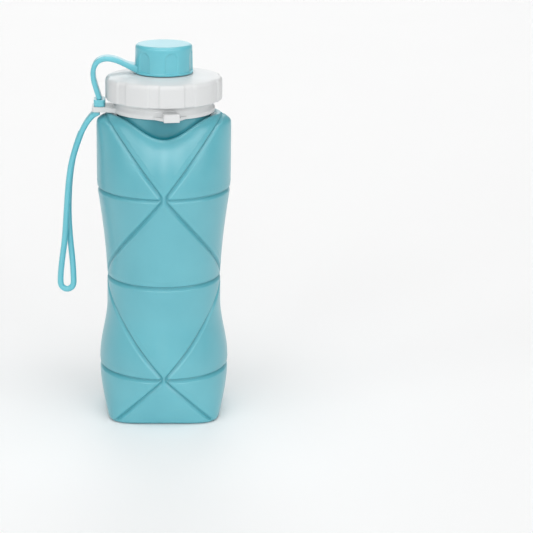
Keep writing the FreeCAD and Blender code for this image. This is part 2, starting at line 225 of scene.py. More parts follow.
def silicone_material(name, lift):
    """Matte teal silicone with painted shade: a vertex attribute mixes a darker teal into the creases, the
    hollow round the neck and along the foot; a larger lift makes it paler.
    """
    material, shader = new_material(name, TEAL, 0.42)
    tones = [tuple(lift * part for part in colour) for colour in (TEAL, TEAL_LIGHT)]
    drift = ramp(material, noise(material, 35.0), 0.35, 0.7, tones)
    # painted shade: the mesh's shade attribute mixes the darker teal into the base colour
    painted_shade = add_node(material, "ShaderNodeAttribute")
    painted_shade.attribute_name = "painted_shade"
    shaded = tint(material, drift, TEAL_PAINTED_SHADE, painted_shade.outputs["Fac"])
    join(shaded, shader.inputs["Base Color"])
    uneven_gloss(material, shader, 160.0, 0.26, 0.34)
    skin = add_bump(material, shader, noise(material, 2600.0, 2.0), 0.10, 0.0002)
    add_bump(material, shader, noise(material, 90.0), 0.10, 0.0006, skin)
    finish_with(shader, Specular_IOR_Level=1.0, Subsurface_Weight=0.12, Subsurface_Radius=(0.4, 0.9, 1.0),
                Subsurface_Scale=0.0015, Sheen_Weight=0.12, Sheen_Roughness=0.5)
    return material


def plastic_material():
    """Satin white moulded plastic with a trace of flow and fine texture."""
    material, shader = new_material("plastic_white", WHITE, 0.34)
    uneven_colour(material, shader, 28.0, 0.3, 0.75, (WHITE_WARM, WHITE))
    uneven_gloss(material, shader, 120.0, 0.28, 0.42)
    add_bump(material, shader, noise(material, 1500.0, 2.0), 0.06, 0.0002)
    finish_with(shader, Specular_IOR_Level=0.35, Subsurface_Weight=0.08, Subsurface_Radius=(1.0, 1.0, 1.0),
                Subsurface_Scale=0.001)
    return material


def gasket_material():
    """Milky seal rubber."""
    material, shader = new_material("gasket_clear", (0.62, 0.66, 0.68), 0.5)
    uneven_colour(material, shader, 60.0, 0.3, 0.7, ((0.56, 0.60, 0.62), (0.66, 0.70, 0.72)))
    add_bump(material, shader, noise(material, 1800.0, 2.0), 0.1, 0.0002)
    return material


def webbing_material():
    """White elastic webbing: ribs are in the mesh; painted shade between the ribs and the fibre fuzz are
    here.
    """
    material, shader = new_material("webbing_white", (0.72, 0.73, 0.735), 0.85)
    rib = add_node(material, "ShaderNodeAttribute")
    rib.attribute_name = "rib"
    # painted shade: darker where the mesh's ribs lie low, lighter on their crests
    rib_painted_shade = tint(material, (0.60, 0.61, 0.62), (0.82, 0.83, 0.835), rib.outputs["Fac"])
    fuzz = ramp(material, noise(material, 900.0, 4.0), 0.25, 0.8, ((0.86, 0.86, 0.87), (1.0, 1.0, 1.0)))
    join(tint(material, rib_painted_shade, fuzz, 1.0, "MULTIPLY"), shader.inputs["Base Color"])
    add_bump(material, shader, noise(material, 2400.0, 4.0), 0.35, 0.0003)
    finish_with(shader, Sheen_Weight=0.35)
    return material


def thread_material():
    """Sewing thread, a little brighter than the webbing."""
    material, shader = new_material("thread_white", (0.80, 0.81, 0.82), 0.7)
    uneven_colour(material, shader, 2500.0, 0.3, 0.7, ((0.70, 0.71, 0.72), (0.86, 0.87, 0.88)))
    finish_with(shader, Sheen_Weight=0.3)
    return material


def floor_material():
    """Plain pale floor."""
    material, shader = new_material("floor_pale", (0.93, 0.93, 0.93), 0.6)
    uneven_colour(material, shader, 3.0, 0.2, 0.8, ((0.965, 0.965, 0.965), (0.98, 0.98, 0.98)))
    return material


SILICONE = silicone_material("silicone_teal", 1.0)
SILICONE_SOFT = silicone_material("silicone_teal_soft", 1.22)
PLASTIC = plastic_material()
GASKET = gasket_material()
WEBBING = webbing_material()
THREAD = thread_material()


# ---- mesh helpers


def shade_smooth(mesh):
    """Smooth shading on every face."""
    mesh.polygons.foreach_set("use_smooth", [True] * len(mesh.polygons))


def add_object(name, data):
    """Object linked into the scene."""
    thing = bpy.data.objects.new(name, data)
    bpy.context.scene.collection.objects.link(thing)
    return thing


def make_object(name, points, faces, material):
    """Smooth-shaded mesh object from millimetre points."""
    mesh = bpy.data.meshes.new(name)
    mesh.from_pydata((np.array(points, float) * MM).tolist(), [], faces)
    mesh.validate()
    shade_smooth(mesh)
    mesh.materials.append(material)
    return add_object(name, mesh)


def set_attribute(thing, name, values):
    """Store one number per vertex for the material."""
    attribute = thing.data.attributes.new(name, "FLOAT", "POINT")
    attribute.data.foreach_set("value", np.array(values, np.float32))


def grid_faces(rows, columns, first=0, ends="capped"):
    """Quads of a grid of points, wrapped round the columns; its two ends are capped or meet."""
    faces = []
    for row in range(rows if ends == "meet" else rows - 1):
        a = first + row * columns
        b = first + (row + 1) % rows * columns
        for column in range(columns):
            after = (column + 1) % columns
            faces.append((a + column, a + after, b + after, b + column))
    if ends == "capped":
        top = first + (rows - 1) * columns
        faces.append(tuple(range(first + columns - 1, first - 1, -1)))
        faces.append(tuple(range(top, top + columns)))
    return faces


def rounded(points, radii, steps=5):
    """Polyline (r, z) with its corners turned into arcs; one radius per point."""
    result = []
    count = len(points)
    for index, (point, radius) in enumerate(zip(points, radii)):
        corner = Vector(point)
        to_before = Vector(points[index - 1]) - corner
        to_after = Vector(points[(index + 1) % count]) - corner
        if radius <= 0:
            result.append(tuple(corner))
            continue
        half = to_before.angle(to_after) / 2
        cut = min(radius / tan(half), 0.49 * min(to_before.length, to_after.length))
        start = corner + to_before.normalized() * cut
        end = corner + to_after.normalized() * cut
        for step in range(steps + 1):
            t = step / steps
            result.append(tuple(start.lerp(corner, t).lerp(corner.lerp(end, t), t)))
    return result


def refined(outline, spacing):
    """Closed outline with long stretches divided."""
    result = []
    for start, end in zip(outline, outline[1:] + outline[:1]):
        length = dist(start, end)
        pieces = max(1, round(length / spacing))
        for step in range(pieces):
            t = step / pieces
            result.append((start[0] + (end[0] - start[0]) * t, start[1] + (end[1] - start[1]) * t))
    return result


def lathe(name, outline, columns, material, shift=None):
    """Solid of revolution from a closed (r, z) outline; shift(angle, r, z) moves points in or out."""
    outline = np.array(outline)
    angles = np.linspace(0, 2 * pi, columns, endpoint=False)
    radius = np.repeat(outline[:, :1], columns, axis=1)
    height = np.repeat(outline[:, 1:], columns, axis=1)
    angle = np.repeat(angles[None, :], len(outline), axis=0)
    if shift is not None:
        radius = radius + shift(angle, radius, height)
    points = np.stack([radius * np.cos(angle), radius * np.sin(angle), height], axis=-1).reshape(-1, 3)
    thing = make_object(name, points, grid_faces(len(outline), columns, ends="meet"), material)
    tidy_mesh(thing)
    return thing


def tidy_mesh(thing, merge=0.00001):
    """Merge points that lie closer than merge metres and turn all faces outward."""
    shape = bmesh.new()
    shape.from_mesh(thing.data)
    if merge > 0:
        bmesh.ops.remove_doubles(shape, verts=shape.verts, dist=merge)
        bmesh.ops.dissolve_degenerate(shape, edges=shape.edges, dist=merge)
    bmesh.ops.recalc_face_normals(shape, faces=shape.faces)
    shape.to_mesh(thing.data)
    shape.free()


def spline(points, samples):
    """Smooth clamped quadratic B-spline through control points, sampled evenly in its parameter."""
    control = np.array(points, float)
    count = len(control)
    knots = np.concatenate([[0, 0], np.arange(count - 1), [count - 2, count - 2]])
    result = []
    for u in np.linspace(0, count - 2 - 1e-9, samples):
        span = int(u) + 2
        ends = [control[span - 2], control[span - 1], control[span]]
        for level in (1, 2):
            for j in range(2, level - 1, -1):
                low = knots[span - 2 + j]
                width = knots[span + 1 + j - level] - low
                t = 0 if width == 0 else (u - low) / width
                ends[j] = ends[j - 1] * (1 - t) + ends[j] * t
        result.append(ends[2])
    return np.array(result)


def corner_arcs(corners, radius, steps):
    """Quarter arcs in order: each corner gives its first angle and its arc's centre."""
    points = []
    for first, cx, cy in corners:
        for step in range(steps + 1):
            angle = radians(first + 90 * step / steps)
            points.append((cx + radius * cos(angle), cy + radius * sin(angle)))
    return points


def rounded_section(width, thickness, corner, steps=4):
    """Loop of (across, out) points of a flat strap's section."""
    corner = min(corner, 0.499 * thickness, 0.499 * width)
    u = width / 2 - corner
    v = thickness / 2 - corner
    return corner_arcs(((0, u, v), (90, -u, v), (180, -u, -v), (270, u, -v)), corner, steps)


def swept_points(path, across, sections):
    """Points of one (across, out) loop per path point, square to the path."""
    path = np.array(path, float)
    across = np.array(across, float)
    points = []
    for index, place in enumerate(path):
        ahead = path[min(index + 1, len(path) - 1)] - path[max(index - 1, 0)]
        ahead /= np.linalg.norm(ahead)
        out = np.cross(ahead, across)
        for u, v in sections[index]:
            points.append(place + across * u + out * v)
    return points


def sweep(name, path, across, sections, material):
    """Closed strap along a path: one loop of (across, out) points per path point."""
    points = swept_points(path, across, sections)
    thing = make_object(name, points, grid_faces(len(path), len(sections[0])), material)
    tidy_mesh(thing)
    return thing


def apply_modifiers(thing):
    """Replace an object's mesh with its modified form."""
    bpy.context.view_layer.update()
    mesh = bpy.data.meshes.new_from_object(thing.evaluated_get(bpy.context.evaluated_depsgraph_get()))
    thing.modifiers.clear()
    thing.data = mesh


def joined(things):
    """One object from several; the first keeps its name."""
    bpy.ops.object.select_all(action="DESELECT")
    for thing in things:
        thing.select_set(True)
    bpy.context.view_layer.objects.active = things[0]
    bpy.ops.object.join()
    return things[0]


def fused(name, things, voxel, passes, material):
    """One skin round several closed shapes, with its edges and roots softened like a moulding."""
    for thing in things:
        tidy_mesh(thing)
    whole = joined(things)
    remesh = whole.modifiers.new("skin", "REMESH")
    remesh.mode = "VOXEL"
    remesh.voxel_size = voxel * MM
    soften = whole.modifiers.new("soften", "SMOOTH")
    soften.factor = 0.5
    soften.iterations = passes
    apply_modifiers(whole)
    mesh = whole.data
    mesh.materials.clear()
    mesh.materials.append(material)
    shade_smooth(mesh)
    mesh.polygons.foreach_set("material_index", [0] * len(mesh.polygons))
    whole.name = name
    mesh.name = name
    return whole


def plate(name, outline, low, high, material=PLASTIC):
    """Flat plate from a plan outline, a stock shape that is fused, cut or cuts."""
    count = len(outline)
    points = [(x, y, low) for x, y in outline] + [(x, y, high) for x, y in outline]
    faces = [tuple(reversed(range(count))), tuple(range(count, 2 * count))]
    faces += [(i, (i + 1) % count, count + (i + 1) % count, count + i) for i in range(count)]
    return make_object(name, points, faces, material)


def brick(name, low, high):
    """Plain box, used only as a stock shape that is fused or cut."""
    outline = [(low[0], low[1]), (high[0], low[1]), (high[0], high[1]), (low[0], high[1])]
    return plate(name, outline, low[2], high[2])


def cut_away(thing, tool):
    """Subtract one closed mesh from another and drop the tool."""
    cutter = thing.modifiers.new("cut", "BOOLEAN")
    cutter.operation = "DIFFERENCE"
    cutter.solver = "EXACT"
    cutter.object = tool
    apply_modifiers(thing)
    bpy.data.objects.remove(tool)


def smoothstep(low, high, value):
    """Soft step from 0 to 1."""
    t = np.clip((value - low) / (high - low), 0, 1)
    return t * t * (3 - 2 * t)


# ---- soft body


def side_radius(z):
    """Half width of the body at the height z, without the shoulder bevel."""
    z = np.asarray(z, float)
    low = 1 - (1 - np.clip(z / LOWER_BELT_Z, 0, 1)) ** BELLY_EXPONENT
    bottom = BOTTOM_HALF + (LOWER_BELT_RADIUS - BOTTOM_HALF) * low
    drop = np.clip((z - BELLY_Z[0]) / (BELLY_Z[1] - BELLY_Z[0]), 0, 1)
    belly = WAIST_RADIUS + (LOWER_BELT_RADIUS - WAIST_RADIUS) * (1 + np.cos(pi * drop)) / 2
    rise = np.clip((z - WAIST_Z) / (UPPER_BELT_Z - WAIST_Z), 0, 1)
    chest = WAIST_RADIUS + (SIDE_RADIUS - WAIST_RADIUS) * rise ** CHEST_EXPONENT
    return np.where(z < LOWER_BELT_Z, bottom, np.where(z < WAIST_Z, belly, chest))


def section_shape(z):
    """Half width, half depth and roundness exponent of the body's section at the height z."""
    z = np.asarray(z, float)
    half = side_radius(z)
    climb = np.clip(z / LOWER_BELT_Z, 0, 1)
    corner = BOTTOM_CORNER_RADIUS + (LOWER_BELT_RADIUS - BOTTOM_CORNER_RADIUS) * climb
    square = 1 / (0.5 - np.log2(np.maximum(corner / half, 1.0)))
    rise = np.clip((z - UPPER_BELT_Z) / (SHOULDER_Z - UPPER_BELT_Z), 0, 1)
    facet = UPPER_BELT_DEPTH + (SHOULDER_DEPTH - UPPER_BELT_DEPTH) * rise
    depth = np.where(z > UPPER_BELT_Z, facet + FACET_BULGE * np.sin(pi * rise), half)
    exponent = np.where(z < LOWER_BELT_Z, square, 2.0 + (SHOULDER_EXPONENT - 2.0) * rise)
    bevel = np.clip((z - (SHOULDER_Z - BEVEL_HEIGHT)) / BEVEL_HEIGHT, 0, 1)
    return half + (SHOULDER_HALF - SIDE_RADIUS) * bevel, depth, exponent


def section_radius(angle, z, inset=0.0):
    """Distance from the axis to the body's smooth surface."""
    half, depth, exponent = section_shape(z)
    c = np.abs(np.cos(angle)) / (half - inset)
    s = np.abs(np.sin(angle)) / (depth - inset)
    return (c ** exponent + s ** exponent) ** (-1 / exponent)


def in_four_quarters(line):
    """The same fold line at the left and right of the back and front."""
    return [line * np.array([left, side, 1]) for left in (-1, 1) for side in (-1, 1)]


def belt_points():
    """Points along the three level creases, open at the bridges."""
    lines = []
    for z, bridge, offset in ((LOWER_BELT_Z, LOWER_BRIDGE, 0.0), (UPPER_BELT_Z, UPPER_BRIDGE, 0.0),
                              (WAIST_Z, SIDE_BRIDGE, pi / 2)):
        radius = float(side_radius(z))
        gap = bridge / 2 / radius
        for side in (0, 1):
            angle = np.linspace(gap, pi - gap, 700) + offset + side * pi - pi / 2
            reach = section_radius(angle, z)
            lines.append(around_axis(angle, reach, np.full_like(angle, z)))
    return lines


def past_bridge(distance, half_bridge):
    """Distance from a crossing, held at half the bridge's width close to it."""
    return (distance ** 4 + half_bridge ** 4) ** 0.25


def diagonal_points(z_from, z_to, bridge):
    """Creases of one middle module: from the front and back crossings to the left and right ones."""
    z = np.linspace(z_from, z_to, 420)
    t = np.abs(z - z_from) / abs(z_to - z_from)
    sweep_angle = pi / 2 * (t - 0.07 * np.sin(pi * t))
    radius = side_radius(z)
    near = past_bridge(sweep_angle, bridge / 2 / radius)
    far = pi / 2 - past_bridge(pi / 2 - sweep_angle, SIDE_BRIDGE / 2 / radius)
    angle = np.where(t < 0.5, near, far)
    return in_four_quarters(np.stack([radius * np.sin(angle), radius * np.cos(angle), z], axis=-1))


def straight_points(z_from, z_to, x_reach, bridge):
    """Creases that are straight in the front view: the upper V and the lowest diagonals."""
    z = np.linspace(z_from, z_to, 420)
    x = past_bridge(x_reach * (z - z_from) / (z_to - z_from), bridge / 2)
    half, depth, exponent = section_shape(z)
    y = depth * (1 - np.minimum(np.abs(x) / half, 1) ** exponent) ** (1 / exponent)
    return in_four_quarters(np.stack([x, y, z], axis=-1))


def crease_tree():
    """Search tree over all creases of the body."""
    lines = belt_points()
    lines += diagonal_points(UPPER_BELT_Z, WAIST_Z, UPPER_BRIDGE)
    lines += diagonal_points(LOWER_BELT_Z, WAIST_Z, LOWER_BRIDGE)
    lines += straight_points(UPPER_BELT_Z, SHOULDER_Z, UPPER_V_REACH, UPPER_BRIDGE)
    lines += straight_points(LOWER_BELT_Z, 0.0, LOWER_V_REACH, LOWER_BRIDGE)
    points = np.concatenate(lines)
    tree = KDTree(len(points))
    for index, point in enumerate(points):
        tree.insert(point, index)
    tree.balance()
    return tree


def ridge_height(angles):
    """Height of the shoulder's edge: high at the two sides, dipping in a smile at the front and back."""
    aside = np.minimum(np.abs(np.cos(angles)), 1)
    return RIDGE_LOW_Z + (SHOULDER_Z - RIDGE_LOW_Z) * (1 - np.cos(pi * aside)) / 2


def bottom_rows(angles):
    """Recessed bottom, out to the start of its rounded edge."""
    foot = section_radius(angles, BOTTOM_EDGE) - BOTTOM_EDGE
    rows = []
    for share, height in ((0.02, 0.8), (0.3, 0.8), (0.55, 0.8), (0.62, 0.7), (0.68, 0.35), (0.73, 0.05),
                          (0.78, 0.0), (0.85, 0.0), (0.92, 0.0), (0.97, 0.0)):
        rows.append((foot * share, np.full_like(angles, height)))
    return rows


def wall_profile(angles):
    """Outer wall from the bottom's rounded edge, over the shoulder and into its mouth, in even rows."""
    foot = section_radius(angles, BOTTOM_EDGE) - BOTTOM_EDGE
    line = []
    for turn in np.radians(np.arange(0, 90, 10)):
        line.append((foot + BOTTOM_EDGE * sin(turn),
                     np.full_like(angles, BOTTOM_EDGE - BOTTOM_EDGE * cos(turn))))
    ridge = ridge_height(angles)
    for t in np.linspace(0, 1, 700):
        z = BOTTOM_EDGE + (ridge - BOTTOM_EDGE) * t
        roll = RIDGE_ROLL * np.clip((z - ridge) / ROLL_REACH + 1, 0, 1) ** 2
        line.append((section_radius(angles, z) - roll, z))
    edge_radius = line[-1][0]
    for t in np.linspace(0, 1, 30)[1:]:
        line.append((edge_radius + (MOUTH_RADIUS - edge_radius) * t, ridge - VALLEY_DIP * t))
    valley = ridge - VALLEY_DIP
    for t in np.linspace(0, 1, 90)[1:]:
        line.append((np.full_like(angles, MOUTH_RADIUS), valley + (CEILING_Z - valley) * t))
    line = evenly(np.array(line).swapaxes(0, 1), 900)
    soft = line.copy()
    for _ in range(26):
        soft[:, 1:-1] = (soft[:, :-2] + 2 * soft[:, 1:-1] + soft[:, 2:]) / 4
    keep = 1 - smoothstep(3.0, 6.0, line[1])
    return evenly(line * keep + soft * (1 - keep), SPLIT * WALL_CELLS + 1)


def evenly(line, count):
    """Radius and height, a column for each angle, sampled again at even distances."""
    step = np.hypot(*np.diff(line, axis=1))
    length = np.concatenate([np.zeros((1, step.shape[1])), np.cumsum(step, axis=0)])
    result = np.empty((2, count, step.shape[1]))
    for column in range(step.shape[1]):
        at = np.linspace(0, length[-1, column], count)
        for new, old in zip(result, line):
            new[:, column] = np.interp(at, length[:, column], old[:, column])
    return result


def inner_rows(angles):
    """Inner wall under the shoulder, down to the floor's centre."""
    rows = []
    upper = np.linspace(CEILING_Z, UPPER_BELT_Z, 6)
    lower = np.linspace(UPPER_BELT_Z - 6, BOTTOM_WALL + 2, 22)
    for z in np.concatenate([upper, lower]):
        rows.append((section_radius(angles, z, SIDE_WALL), np.full_like(angles, z)))
    floor = section_radius(angles, BOTTOM_WALL, SIDE_WALL)
    for share in (0.97, 0.7, 0.3, 0.02):
        rows.append((floor * share, np.full_like(angles, BOTTOM_WALL)))
    return rows


def around_axis(angles, radius, height):
    """Points of rows given as radius and height."""
    return np.stack([radius * np.cos(angles), radius * np.sin(angles), height], axis=-1)


def neck_painted_shade(x, radius):
    """Strength of the painted shade in the hollow round the neck: full at the front and back, less at the
    sides.
    """
    return 1 - 0.65 * smoothstep(0.15, 0.6, np.abs(x) / radius)


def creased(place):
    """Wall points pressed in along the creases, with the painted shade of each: a dark line in each groove,
    the hollow round the neck and a painted contact shadow along the foot.
    """
    along = np.gradient(place, axis=0)
    around = np.roll(place, -1, axis=1) - np.roll(place, 1, axis=1)
    normal = np.cross(around, along)
    normal /= np.maximum(np.linalg.norm(normal, axis=2, keepdims=True), 1e-9)
    tree = crease_tree()
    gap = np.full(place.shape[:2], 99.0)
    coarse = gap[::SPLIT, ::SPLIT]
    for row, column in np.ndindex(*coarse.shape):
        coarse[row, column] = tree.find(place[row * SPLIT, column * SPLIT])[2]
    cells = np.minimum(coarse[:-1], coarse[1:])
    near = np.minimum(cells, np.roll(cells, -1, axis=1)) < CREASE_REACH
    near[0] = False
    near[-1] = False
    wanted = np.repeat(np.repeat(near, SPLIT, axis=0), SPLIT, axis=1)
    above = np.zeros_like(gap)
    for row, column in np.argwhere(wanted):
        nearest, _, gap[row, column] = tree.find(place[row, column])
        above[row, column] = (place[row, column, 2] - nearest[2]) / max(gap[row, column], 1e-6)
    groove = np.clip(1 - gap / (GROOVE_HALF_WIDTH * (1 - GROOVE_LEAN * above)), 0, 1)
    groove = groove * groove * (3 - 2 * groove) * 0.45 + groove * 0.55
    height = place[..., 2]
    radius = np.hypot(place[..., 0], place[..., 1])
    fade = smoothstep(0.2, 2.5, height) * smoothstep(NECK_WAIST + 0.3, NECK_WAIST + 3.0, radius)
    sink = (GROOVE_DEPTH * groove + PILLOW_DEPTH * np.exp(-gap / PILLOW_WIDTH)) * fade
    # painted shade in the hollow round the neck, below the collar and lid
    hollow = (1 - smoothstep(NECK_WAIST + 0.5, NECK_WAIST + 3.0, radius)) * smoothstep(150.0, 160.0, height)
    hollow = hollow * neck_painted_shade(place[..., 0], radius)
    # painted contact shadow: a dark band along the bottom edge
    foot = 1 - smoothstep(0.2, 1.5, height)
    # painted shade: a thin dark line along each groove's centre
    line = GROOVE_PAINTED_SHADE * np.clip(1 - gap / GROOVE_LINE, 0, 1) * fade
    return place - normal * sink[..., None], np.maximum(line, hollow + foot), near


def cell_faces(index, near):
    """Faces of the wall's cells: divided near the creases, whole elsewhere, with their edges matched."""
    faces = []
    rows, columns = near.shape
    width = index.shape[1]
    for row, column in np.ndindex(rows, columns):
        top = row * SPLIT
        left = column * SPLIT
        if near[row, column]:
            for a in range(top, top + SPLIT):
                for b in range(left, left + SPLIT):
                    after = (b + 1) % width
                    faces.append((index[a, b], index[a, after], index[a + 1, after], index[a + 1, b]))
            continue
        low = SPLIT if row == 0 or not near[row - 1, column] else 1
        high = SPLIT if row == rows - 1 or not near[row + 1, column] else 1
        before = SPLIT if not near[row, column - 1] else 1
        after = SPLIT if not near[row, (column + 1) % columns] else 1
        loop = [(top, left + b) for b in range(0, SPLIT, low)]
        loop += [(top + a, left + SPLIT) for a in range(0, SPLIT, after)]
        loop += [(top + SPLIT, left + b) for b in range(SPLIT, 0, -high)]
        loop += [(top + a, left) for a in range(SPLIT, 0, -before)]
        faces.append(tuple(index[a, b % width] for a, b in loop))
    return faces


def silicone_body():
    """Creased waisted moulding with its round neck, hollow, one closed skin."""
    fine = np.linspace(0, 2 * pi, SPLIT * BODY_CELLS, endpoint=False)
    coarse = fine[::SPLIT]
    radius, height = wall_profile(fine)
    place, depth, near = creased(around_axis(fine, radius, height))
    bottom = [around_axis(coarse, *row) for row in bottom_rows(coarse)]
    inner = [around_axis(coarse, *row) for row in inner_rows(coarse)]
    index = np.arange(place[..., 0].size).reshape(place.shape[:2])
    faces = cell_faces(index, near)
    first = index.size
    under = np.arange(first, first + len(bottom) * BODY_CELLS).reshape(len(bottom), BODY_CELLS)
    inside = under[-1, -1] + 1 + np.arange(len(inner) * BODY_CELLS).reshape(-1, BODY_CELLS)
    rings = [list(under) + [index[0, ::SPLIT]], [index[-1, ::SPLIT]] + list(inside)]
    for stack in rings:
        for low, high in zip(stack, stack[1:]):
            for column in range(BODY_CELLS):
                after = (column + 1) % BODY_CELLS
                faces.append((low[column], low[after], high[after], high[column]))
    faces.append(tuple(reversed(under[0])))
    faces.append(tuple(inside[-1]))
    points = np.concatenate([place.reshape(-1, 3)] + bottom + inner)
    # painted shade per point: the wall's values, none on the bottom and inner rows
    painted_shade = np.concatenate([depth.reshape(-1), np.zeros(len(points) - depth.size)])
    used = np.unique(np.concatenate([np.array(face) for face in faces]))
    renumber = np.full(len(points), -1)
    renumber[used] = np.arange(len(used))
    faces = [tuple(int(renumber[corner]) for corner in face) for face in faces]
    body = make_object("silicone_body_creased", points[used], faces, SILICONE)
    set_attribute(body, "painted_shade", painted_shade[used])
    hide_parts("silicone_body")
    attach(body, "bottle")
    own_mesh(body)


def silicone_neck():
    """Stiff upright neck of the same moulding, which stays round while the body folds under it."""
    foot = CEILING_Z - 1.0
    corners = [(NECK_BORE, foot), (NECK_WAIST, foot), (NECK_WAIST, 177.4), (NECK_RADIUS, 178.4),
               (NECK_RADIUS, NECK_TOP_Z), (NECK_BORE, NECK_TOP_Z)]
    outline = refined(rounded(corners, [0.3, 0.3, 0.6, 0.6, 0.8, 0.8]), 1.0)
    neck = lathe("silicone_neck_ring", outline, BODY_CELLS, SILICONE)
    points = np.array([vertex.co for vertex in neck.data.vertices])
    # painted shade over the whole neck ring, full at the front and back, less at the sides
    set_attribute(neck, "painted_shade", neck_painted_shade(points[:, 0], np.hypot(points[:, 0], points[:, 1])))
    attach(neck, "neck")


# ---- lid and cap


LID_RADIUS = LID_HIGH[0]
LID_EDGE_Z = 198.0
LID_DOME_Z = 199.9
LID_BORE = 30.6
LID_CEILING_Z = 196.4
LID_DISC_Z = 197.6
GASKET_STEP = 24.5
SPOUT_OUTER = 13.0
SPOUT_BORE = 10.4
THREAD_PITCH = 5.0
THREAD_SECTION = ((-0.3, -1.1), (0.0, -1.1), (0.9, -0.65), (1.0, -0.45), (1.0, 0.45), (0.9, 0.65), (0.0, 1.1),
                  (-0.3, 1.1))
FLUTES = 10
FLUTE_HALF_DEG = 5.5
FLUTE_EDGE_DEG = 0.5
FLUTE_DEPTH = 0.7
FIRST_FLUTE_DEG = 8.0


def flute_shift(angle, radius, height):
    """Shallow upright recesses round the lid's rim."""
    pitch = 2 * pi / FLUTES
    offset = (angle + pitch / 2 - radians(FIRST_FLUTE_DEG)) % pitch - pitch / 2
    half = radians(FLUTE_HALF_DEG)
    soft = radians(FLUTE_EDGE_DEG)
    inside = 1 - smoothstep(half - soft, half + soft, np.abs(offset))
    outer = smoothstep(LID_RADIUS - 3.5, LID_RADIUS - 0.8, radius)
    return -FLUTE_DEPTH * inside * outer


def helical_ridge(name, radius, height, start_z, first_turn, turns, material):
    """Thread ridge; height is signed, outward or inward."""
    steps = 150
    points = []
    for step in range(steps + 1):
        share = step / steps
        angle = 2 * pi * (first_turn + turns * share)
        taper = min(1.0, share * 12, (1 - share) * 12)
        z = start_z + THREAD_PITCH * turns * share
        for out, up in THREAD_SECTION:
            reach = radius + height * out * (taper if out > 0 else 1)
            points.append((reach * cos(angle), reach * sin(angle), z + up))
    ridge = make_object(name, points, grid_faces(steps + 1, len(THREAD_SECTION)), material)
    tidy_mesh(ridge)
    return ridge


def screw_lid():
    """Fluted lid and spout, with the inner thread."""
    low = LID_LOW[2]
    high = LID_HIGH[2]
    corners = [(LID_BORE, low), (LID_RADIUS, low), (LID_RADIUS, LID_EDGE_Z), (25.4, 199.2),
               (17.6, LID_DOME_Z), (SPOUT_OUTER, LID_DOME_Z), (SPOUT_OUTER, high), (SPOUT_BORE, high),
               (SPOUT_BORE, LID_DISC_Z), (GASKET_STEP, LID_DISC_Z), (GASKET_STEP, LID_CEILING_Z),
               (LID_BORE, LID_CEILING_Z)]
    radii = [0.4, 1.4, 2.8, 8.0, 5.0, 0.8, 0.9, 0.7, 0.6, 0.3, 0.3, 0.4]
    outline = refined(rounded(corners, radii, 7), 0.9)
    lid = lathe("screw_lid_fluted", outline, 360, PLASTIC, flute_shift)
    ridge = helical_ridge("lid_thread", LID_BORE, -1.6, 188.75, 0.5, 0.95, PLASTIC)
    joined([lid, ridge])
    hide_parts("screw_lid")
    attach(lid, "lid")


CAP_BASE_RADIUS = CAP_HIGH[0]
CAP_TOP_RADIUS = 16.0
CAP_BORE = 13.4
CAP_CEILING_Z = 213.8
PLUG_BORE = 7.6
PLUG_OUTER = 9.8
PLUG_TIP_Z = 208.4
GRIPS = 6
GRIP_HALF = 3.9
GRIP_DEPTH = 0.75
GRIP_TOP_Z = CAP_HIGH[2] - 3.4
FIRST_GRIP_DEG = -74.0


def grip_shift(angle, radius, height):
    """Arch-topped finger recesses with flat floors."""
    pitch = 2 * pi / GRIPS
    offset = (angle - radians(FIRST_GRIP_DEG) + pitch / 2) % pitch - pitch / 2
    across = np.abs(offset) * CAP_BASE_RADIUS
    above = np.maximum(height - (GRIP_TOP_Z - GRIP_HALF), 0)
    edge = GRIP_HALF - np.hypot(across, above)
    inside = smoothstep(-0.22, 0.42, edge)
    outer = smoothstep(CAP_TOP_RADIUS - 1.6, CAP_TOP_RADIUS - 0.9, radius)
    base = smoothstep(CAP_LOW[2] + 1.0, CAP_LOW[2] + 1.6, height)
    floor = (CAP_TOP_RADIUS - GRIP_DEPTH + 0.15) / np.cos(np.clip(offset, -0.4, 0.4))
    depth = np.clip(radius - floor, 0, 1.2)
    return -depth * inside * outer * base


def spout_cap():
    """Soft cap with an inner plug ring."""
    low = CAP_LOW[2]
    high = CAP_HIGH[2]
    base = CAP_BASE_RADIUS
    corners = [(0.0, CAP_CEILING_Z), (PLUG_BORE, CAP_CEILING_Z), (PLUG_BORE, PLUG_TIP_Z),
               (PLUG_OUTER, PLUG_TIP_Z), (PLUG_OUTER, CAP_CEILING_Z), (CAP_BORE, CAP_CEILING_Z),
               (CAP_BORE, low), (base, low), (base, low + 1.1), (base - 0.3, low + 1.5),
               (CAP_TOP_RADIUS, high), (0.0, high)]
    radii = [0, 0.4, 0.4, 0.6, 0.4, 0.4, 0.3, 0.35, 0.3, 0.3, 2.3, 0]
    outline = refined(rounded(corners, radii, 6), 0.45)
    cap = lathe("spout_cap_gripped", outline, 320, SILICONE_SOFT, grip_shift)
    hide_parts("spout_cap")
    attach(cap, "cap")


# ---- collar


COLLAR_BORE = 26.9
COLLAR_OUTER = 28.3
COLLAR_LIP = 29.0
COLLAR_TOP_RADIUS = 27.7
EAR_THICKNESS = 2.9
EAR_HALF_WIDTH = 7.0
EAR_REACH = COLLAR_HIGH[1]
EAR_FLARE = 10.0
EAR_CORNER = 2.2
HOOK_REACH = 36.3
HOOK_HALF_WIDTH = 4.4
HOOK_TURN_DEG = 7.0
HOOK_HEIGHT = 4.3
HOOK_LIP = 1.9
HOOK_UNDERCUT = 1.8
SLOT_NEAR = 34.6
SLOT_FAR = 37.8
SLOT_HALF_LENGTH = 5.25


def turned_outline(outline, degrees):
    """Plan outline turned about the bottle's axis."""
    c = cos(radians(degrees))
    s = sin(radians(degrees))
    return [(x * c - y * s, x * s + y * c) for x, y in outline]


